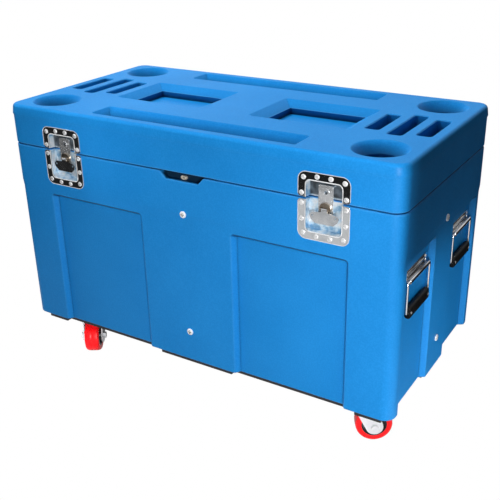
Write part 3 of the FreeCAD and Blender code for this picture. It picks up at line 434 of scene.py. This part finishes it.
# How each material is made: its maker, then its two tones, its range of roughness and what else it needs
FINISHES = {
    "hook_chrome": (metal, (0.62, 0.64, 0.66), (0.84, 0.86, 0.88), (0.16, 0.26), {"metallic": 0.75}),
    "wing_chrome": (metal, (0.50, 0.52, 0.54), (0.78, 0.80, 0.82), (0.10, 0.18), {"scale": 420.0}),
    "bead_chrome": (metal, (0.86, 0.88, 0.90), (0.94, 0.95, 0.96), (0.12, 0.22), {"metallic": 0.5}),
    "handle_chrome": (metal, (0.80, 0.81, 0.83), (0.92, 0.93, 0.94), (0.04, 0.09), {"relief": 0.02}),
    # painted reflection: the handle plates run from black to white in stretched bands
    "plate_chrome": (metal, (0.02, 0.02, 0.025), (1.00, 1.00, 1.00), (0.04, 0.08),
                     {"relief": 0.02, "streaks": (1.0, 0.3, 6.0)}),
    "zinc_steel": (metal, (0.60, 0.62, 0.64), (0.72, 0.73, 0.75), (0.30, 0.45), {"metallic": 0.5}),
    "rivet_metal": (metal, (0.74, 0.75, 0.76), (0.86, 0.86, 0.87), (0.22, 0.32), {"metallic": 0.45}),
    "screw_zinc": (metal, (0.90, 0.91, 0.92), (0.97, 0.97, 0.98), (0.25, 0.36),
                   {"metallic": 0.12, "grime": SCREW_RECESS_SHADE}),
    "cam_brass": (metal, (0.27, 0.22, 0.17), (0.46, 0.40, 0.33), (0.22, 0.36), {}),
    "eye_brass": (metal, (0.80, 0.72, 0.56), (0.92, 0.86, 0.72), (0.22, 0.35), {"metallic": 0.5}),
    "black_board": (moulded, (0.010, 0.010, 0.011), (0.022, 0.022, 0.024), (0.45, 0.65), {}),
    "black_grip": (moulded, (0.002, 0.002, 0.002), (0.005, 0.005, 0.005), (0.42, 0.58), {"shine": 0.18}),
    "seal_rubber": (moulded, (0.010, 0.010, 0.010), (0.020, 0.020, 0.020), (0.60, 0.80), {}),
    "wheel_black": (moulded, (0.006, 0.006, 0.007), (0.014, 0.014, 0.015), (0.30, 0.45), {}),
    "red_tyre": (moulded, (0.88, 0.002, 0.004), (1.00, 0.004, 0.008), (0.34, 0.48),
                 {"grain_scale": 420.0, "grain_depth": 0.0003}),
}
MATERIALS = {name: make(name, low, high, roughness, **others)
             for name, (make, low, high, roughness, others) in FINISHES.items()}
MATERIALS["blue_shell"] = blue_shell("blue_shell", overhang_shade)
MATERIALS["blue_lid"] = blue_shell("blue_lid", pocket_shade)
MATERIALS["latch_chrome"] = latch_metal("latch_chrome")

# Nodes whose finish isn't the one their slot names
FINISH_OF = {"lid_shell": "blue_lid"}
FINISH_OF.update({"latch_hook_" + end: "hook_chrome" for end in ENDS})
FINISH_OF.update({"latch_wing_" + end: "wing_chrome" for end in ENDS})
FINISH_OF.update({"handle_plate_" + place: "plate_chrome" for place in HANDLES})


def soften(node):
    """Give a CAD node its material, smooth shading and small rounded edges."""
    piece = NODES[node]
    piece.data.materials.clear()
    piece.data.materials.append(MATERIALS[FINISH_OF.get(node, SLOT_OF[node])])
    if "custom_normal" in piece.data.attributes:
        piece.data.attributes.remove(piece.data.attributes["custom_normal"])
    piece.data.shade_smooth()
    weld = piece.modifiers.new("weld", "WELD")
    weld.merge_threshold = WELD_GAP
    flat = piece.modifiers.new("flat", "DECIMATE")
    flat.decimate_type = "DISSOLVE"
    flat.angle_limit = math.radians(FLAT_ANGLE)
    edge = piece.modifiers.new("edge", "BEVEL")
    edge.width = next(size for start, size in EDGE_WIDTHS.items() if node.startswith(start))
    edge.segments = EDGE_STEPS
    edge.limit_method = "ANGLE"
    edge.angle_limit = math.radians(EDGE_ANGLE)
    piece.modifiers.new("normals", "WEIGHTED_NORMAL")


def lathe(profile, sides, closed=False):
    """Form turned about Z from (radius, height) points. A closed profile makes a ring."""
    points = []
    rings = []
    for radius, height in profile:
        count = sides if radius else 1
        rings.append(range(len(points), len(points) + count))
        for i in range(count):
            angle = 2 * math.pi * i / count
            points.append(Vector((radius * math.cos(angle), radius * math.sin(angle), height)))
    faces = []
    pairs = list(zip(rings, rings[1:])) + ([(rings[-1], rings[0])] if closed else [])
    for low, high in pairs:
        for i in range(sides):
            j = (i + 1) % sides
            if len(low) == 1:
                faces.append((low[0], high[j], high[i]))
            elif len(high) == 1:
                faces.append((low[i], low[j], high[0]))
            else:
                faces.append((low[i], low[j], high[j], high[i]))
    return points, faces


def head(profile, radius, height, sides=HEAD_SIDES):
    """Turned head from a profile of shares."""
    return lathe([(r * radius, h * height) for r, h in profile], sides)


def bar(radius, length, sides):
    """Plain rod along Z."""
    return lathe([(0, 0), (radius, 0), (radius, length), (0, length)], sides)


def tube(path, radius, normal):
    """Round bead along a path that lies in one plane, with closed ends."""
    points = []
    faces = []
    last = len(path) - 1
    for i, spot in enumerate(path):
        along = (path[min(i + 1, last)] - path[max(i - 1, 0)]).normalized()
        side = normal.cross(along)
        for k in range(BEAD_SIDES):
            angle = 2 * math.pi * k / BEAD_SIDES
            points.append(spot + radius * (math.cos(angle) * side + math.sin(angle) * normal))
    for i in range(last):
        for k in range(BEAD_SIDES):
            a = i * BEAD_SIDES + k
            b = i * BEAD_SIDES + (k + 1) % BEAD_SIDES
            faces.append((a, b, b + BEAD_SIDES, a + BEAD_SIDES))
    faces.append(tuple(range(BEAD_SIDES)))
    faces.append(tuple(range(last * BEAD_SIDES, (last + 1) * BEAD_SIDES)))
    return points, faces


def rounded_path(points, radius):
    """Open path through (across, up) points with its inner corners rounded."""
    path = [Vector(points[0])]
    for before, corner, after in zip(points, points[1:], points[2:]):
        corner = Vector(corner)
        back = (Vector(before) - corner).normalized()
        ahead = (Vector(after) - corner).normalized()
        half = back.angle(ahead) / 2
        centre = corner + (back + ahead).normalized() * (radius / math.sin(half))
        start = corner + back * (radius / math.tan(half)) - centre
        end = corner + ahead * (radius / math.tan(half)) - centre
        turn = start.angle(end)
        for i in range(ARC_STEPS + 1):
            t = turn * i / ARC_STEPS
            path.append(centre + (start * math.sin(turn - t) + end * math.sin(t)) / math.sin(turn))
    return path + [Vector(points[-1])]


def placed(form, matrix):
    """Form moved by a matrix."""
    points, faces = form
    return [matrix @ point for point in points], faces


def upright(spot, axis):
    """Matrix that stands a form drawn along Z on a spot, along an axis."""
    return Matrix.Translation(spot) @ Vector(axis).to_track_quat("Z", "Y").to_matrix().to_4x4()


def carve(form, cutter):
    """Cut one form with another."""
    things = []
    for points, faces in (form, cutter):
        mesh = bpy.data.meshes.new("carve")
        mesh.from_pydata(points, [], faces)
        things.append(bpy.data.objects.new("carve", mesh))
        bpy.context.scene.collection.objects.link(things[-1])
    cut = things[0].modifiers.new("cut", "BOOLEAN")
    cut.operation = "DIFFERENCE"
    cut.object = things[1]
    result = things[0].evaluated_get(bpy.context.evaluated_depsgraph_get()).to_mesh()
    carved = [v.co.copy() for v in result.vertices], [tuple(p.vertices) for p in result.polygons]
    for thing in things:
        mesh = thing.data
        bpy.data.objects.remove(thing)
        bpy.data.meshes.remove(mesh)
    return carved


def add_piece(name, forms, body, slot, node=None, sharp=SHARP_ANGLE, material=None):
    """Join forms into one piece that rides on a body, and stands for a node where one is given."""
    points = []
    faces = []
    for form_points, form_faces in forms:
        start = len(points)
        points += form_points
        faces += [tuple(start + i for i in face) for face in form_faces]
    mesh = bpy.data.meshes.new(name)
    mesh.from_pydata(points, [], faces)
    shape = bmesh.new()
    shape.from_mesh(mesh)
    bmesh.ops.recalc_face_normals(shape, faces=shape.faces)
    shape.to_mesh(mesh)
    shape.free()
    mesh.shade_smooth()
    mesh.set_sharp_from_angle(angle=math.radians(sharp))
    mesh.materials.append(MATERIALS[material or slot])
    piece = bpy.data.objects.new(name, mesh)
    bpy.context.scene.collection.objects.link(piece)
    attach(piece, body)
    if node:
        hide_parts(node)


def solids_of(node):
    """Box of each separate solid of a node."""
    mesh = NODES[node].data
    spots = [tuple(round(c, MATCH_DIGITS) for c in v.co) for v in mesh.vertices]
    group = {spot: spot for spot in spots}

    def root(spot):
        while group[spot] != spot:
            spot = group[spot]
        return spot

    for face in mesh.polygons:
        first = root(spots[face.vertices[0]])
        for i in face.vertices[1:]:
            group[root(spots[i])] = first
    solids = {}
    for spot in group:
        solids.setdefault(root(spot), []).append(spot)
    boxes = []
    for corner in sorted(solids):
        members = solids[corner]
        boxes.append((Vector([min(p[k] for p in members) for k in range(3)]),
                      Vector([max(p[k] for p in members) for k in range(3)])))
    return boxes


def facing(low, high, k):
    """Outward axis along coordinate k, and the spot where a fastener's inner end lies."""
    middle = (low + high) / 2
    axis = Vector((0, 0, 0))
    axis[k] = math.copysign(1, middle[k])
    return axis, middle - axis * ((high[k] - low[k]) / 2)


def rivet_heads(node):
    """Domed rivets in place of a node's plain heads."""
    forms = []
    for low, high in solids_of(node):
        size = high - low
        k = min(range(3), key=lambda i: size[i])
        axis, foot = facing(low, high, k)
        forms.append(placed(head(DOME, max(size) / 2, size[k]), upright(foot, axis)))
    add_piece(node + "_domed", forms, BODY_OF[node], SLOT_OF[node], node)


def cross_head(radius):
    """Pan head with a cross recess."""
    form = head(PAN, radius, SCREW_HEAD)
    length, width, depth = CROSS[0] * radius, CROSS[1] * radius, CROSS[2] * SCREW_HEAD
    block = bar(math.sqrt(0.5), 1, 4)
    for turn in (0, math.pi / 2):
        arm = (Matrix.Translation((0, 0, SCREW_HEAD - depth)) @ Matrix.Rotation(turn, 4, "Z")
               @ Matrix.Diagonal((length, width, 2 * depth, 1)) @ Matrix.Rotation(math.pi / 4, 4, "Z"))
        form = carve(form, placed(block, arm))
    return form


def rib_screws():
    """Pan-head screws on the ribs, each with its shank and nut."""
    node = "rib_screws"
    forms = []
    for low, high in solids_of(node):
        size = high - low
        k = 0 if abs(low[0] + high[0]) > abs(low[1] + high[1]) else 1
        radius = max(size[i] for i in range(3) if i != k) / 2
        inner = size[k] - SCREW_HEAD
        axis, foot = facing(low, high, k)
        forms.append(placed(cross_head(radius), upright(foot + axis * inner, axis)))
        for form in (bar(SCREW_SHANK, inner, SMALL_SIDES), bar(*SCREW_NUT, NUT_SIDES)):
            forms.append(placed(form, upright(foot, axis)))
    add_piece(node + "_cross", forms, BODY_OF[node], SLOT_OF[node], node, material="screw_zinc")


def latch_beads(node, up):
    """Rolled beads round a latch half's outer edge and round the mouth of its dish."""
    low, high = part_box(node)
    face = low[1]
    near, far = (low[2], high[2]) if up > 0 else (high[2], low[2])
    forms = []
    for inset, corner, bead, start in ((0.0, LATCH_CORNER, OUTER_BEAD, LATCH_SPLIT_CORNER),
                                       (LATCH_FLANGE, DISH_CORNER, DISH_BEAD, 0.0)):
        left, right = low[0] + inset, high[0] - inset
        first = near + up * start
        edge = far - up * inset
        path = rounded_path([(left, first), (left, edge), (right, edge), (right, first)], corner)
        spots = [Vector((u, face, v)) for u, v in path]
        forms.append(tube(spots, bead, Vector((0, -1, 0))))
    add_piece(node + "_beads", forms, BODY_OF[node], SLOT_OF[node], material="bead_chrome")


def tyre(place):
    """Red tread with round shoulders and a fine mould line."""
    node = "wheel_tyre_" + place
    joint = JOINTS["wheel_roll_" + place]
    section = list(TYRE_PROFILE) + [(r, -z) for r, z in reversed(TYRE_PROFILE)]
    ring = lathe(section, TYRE_SIDES, closed=True)
    form = placed(ring, upright(Vector(joint["pos_m"]), joint["axis"]))
    add_piece(node + "_round", [form], BODY_OF[node], SLOT_OF[node], node, sharp=TYRE_SHARP)


def grip_screws(place):
    """Small domed screw near each end of a handle's grip."""
    low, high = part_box("handle_grip_" + place)
    sign = math.copysign(1, low[0])
    face = (high[0] if sign > 0 else low[0]) - sign * GRIP_SCREW_SINK
    middle = (low[2] + high[2]) / 2
    dome = head(DOME, *GRIP_SCREW, SMALL_SIDES)
    forms = [placed(dome, upright(Vector((face, y, middle)), (sign, 0, 0)))
             for y in (low[1] + GRIP_SCREW_INSET, high[1] - GRIP_SCREW_INSET)]
    add_piece("grip_screws_" + place, forms, "handle_bail_" + place, "rivet_metal")


def board_with_strip():
    """The caster board with a black strip round its edge."""
    node = "caster_board"
    mesh = NODES[node].data
    points = []
    for vertex in mesh.vertices:
        spot = vertex.co.copy()
        for k in (0, 1):
            if abs(spot[k]) > BOARD_CORE[k]:
                spot[k] += math.copysign(BOARD_GROWTH, spot[k])
        points.append(spot)
    faces = [tuple(face.vertices) for face in mesh.polygons]
    add_piece(node + "_edged", [(points, faces)], BODY_OF[node], SLOT_OF[node], node)


def make_camera():
    """Camera at the photograph's viewing angle."""
    data = bpy.data.cameras.new("camera")
    data.lens = CAMERA_LENS
    camera = bpy.data.objects.new("camera", data)
    azimuth = math.radians(CAMERA_AZIMUTH)
    elevation = math.radians(CAMERA_ELEVATION)
    back = Vector((math.sin(azimuth) * math.cos(elevation), -math.cos(azimuth) * math.cos(elevation),
                   math.sin(elevation)))
    turn = (-back).to_track_quat("-Z", "Y") @ Quaternion((0, 0, 1), math.radians(CAMERA_ROLL))
    camera.matrix_world = Matrix.LocRotScale(Vector(CAMERA_PLACE), turn, None)
    bpy.context.scene.collection.objects.link(camera)
    bpy.context.scene.camera = camera


def make_lights():
    """Soft areas of light from above, from the front and from behind."""
    for name, (place, aim, width, depth, spread_angle, power) in LIGHTS.items():
        data = bpy.data.lights.new(name, "AREA")
        data.shape = "RECTANGLE"
        data.size = width
        data.size_y = depth
        data.spread = math.radians(spread_angle)
        data.energy = power
        light = bpy.data.objects.new(name, data)
        light.location = place
        light.rotation_mode = "QUATERNION"
        light.rotation_quaternion = (Vector(aim) - Vector(place)).to_track_quat("-Z", "Y")
        light.visible_camera = False
        light.visible_glossy = name in GLOSSY_LIGHTS
        bpy.context.scene.collection.objects.link(light)


def white_to_camera(add, link, lit, output):
    """Show plain white to the camera, and let everything else see the lit shader."""
    path = add("ShaderNodeLightPath")
    white = add("ShaderNodeEmission")
    mix = add("ShaderNodeMixShader")
    link(path.outputs["Is Camera Ray"], mix.inputs["Fac"])
    link(lit, mix.inputs[1])
    link(white.outputs[0], mix.inputs[2])
    link(mix.outputs[0], output)


def make_world():
    """Dim room with a bright sky for reflections."""
    world = bpy.data.worlds.new("studio")
    world.use_nodes = True
    add, link = node_kit(world)
    room = world.node_tree.nodes["Background"]
    room.inputs["Color"].default_value = (AMBIENT, AMBIENT, AMBIENT, 1)
    direction = axes_of(add, link, add("ShaderNodeTexCoord").outputs["Generated"])
    height = add("ShaderNodeMapRange", {"From Min": -1.0, "From Max": 1.0})
    link(direction["Z"], height.inputs["Value"])
    sky = add("ShaderNodeBackground")
    link(ramp(add, link, height.outputs["Result"], [(at, (v, v, v)) for at, v in SKY]), sky.inputs["Color"])
    path = add("ShaderNodeLightPath")
    mix = add("ShaderNodeMixShader")
    link(path.outputs["Is Glossy Ray"], mix.inputs["Fac"])
    link(room.outputs[0], mix.inputs[1])
    link(sky.outputs[0], mix.inputs[2])
    white_to_camera(add, link, mix.outputs[0], world.node_tree.nodes["World Output"].inputs["Surface"])
    bpy.context.scene.world = world


def make_floor():
    """Plain pale floor."""
    mesh = bpy.data.meshes.new("floor")
    shape = bmesh.new()
    bmesh.ops.create_circle(shape, cap_ends=True, segments=FLOOR_SIDES, radius=FLOOR_RADIUS)
    shape.to_mesh(mesh)
    shape.free()
    grey = (FLOOR_GREY, FLOOR_GREY, FLOOR_GREY, 1)
    material, shader, add, link = new_material("floor", Base_Color=grey, Roughness=FLOOR_ROUGHNESS)
    output = material.node_tree.nodes["Material Output"]
    white_to_camera(add, link, shader.outputs[0], output.inputs["Surface"])
    mesh.materials.append(material)
    floor = bpy.data.objects.new("floor", mesh)
    floor.visible_glossy = False
    bpy.context.scene.collection.objects.link(floor)


def make_screen(name, corners, hidden_from, **sockets):
    """Flat panel of the studio, hidden from some kinds of rays."""
    mesh = bpy.data.meshes.new(name)
    mesh.from_pydata(corners, [], [(0, 1, 2, 3)])
    mesh.materials.append(new_material(name, Base_Color=(0, 0, 0, 1), **sockets)[0])
    screen = bpy.data.objects.new(name, mesh)
    for kind in hidden_from:
        setattr(screen, "visible_" + kind, False)
    bpy.context.scene.collection.objects.link(screen)


def make_screens():
    """White card that polished metal reflects, and the shade that keeps the key light off the right end."""
    (x0, y0), (x1, y1), z = CARD_LOW, CARD_HIGH, CARD_HEIGHT
    make_screen("card", [(x0, y0, z), (x1, y0, z), (x1, y1, z), (x0, y1, z)],
                ("camera", "diffuse", "transmission", "shadow", "volume_scatter"),
                Emission_Color=(1, 1, 1, 1), Emission_Strength=CARD_GLOW)
    (x0, z0), (x1, z1), y = FLAG_LOW, FLAG_HIGH, FLAG_Y
    make_screen("flag", [(x0, y, z0), (x1, y, z0), (x1, y, z1), (x0, y, z1)],
                ("camera", "diffuse", "glossy", "transmission", "volume_scatter"), Roughness=1.0)


for name in NODES:
    soften(name)
for place in HANDLES:
    grip_screws(place)
board_with_strip()
for node in ("tub_rivets", "lid_rivets", "handle_rivets"):
    rivet_heads(node)
rib_screws()
for end in ENDS:
    latch_beads("latch_keeper_" + end, 1)
    latch_beads("latch_dish_" + end, -1)
for place in CASTERS:
    tyre(place)
make_camera()
make_lights()
make_world()
make_floor()
make_screens()
bpy.context.scene.view_settings.view_transform = "Standard"
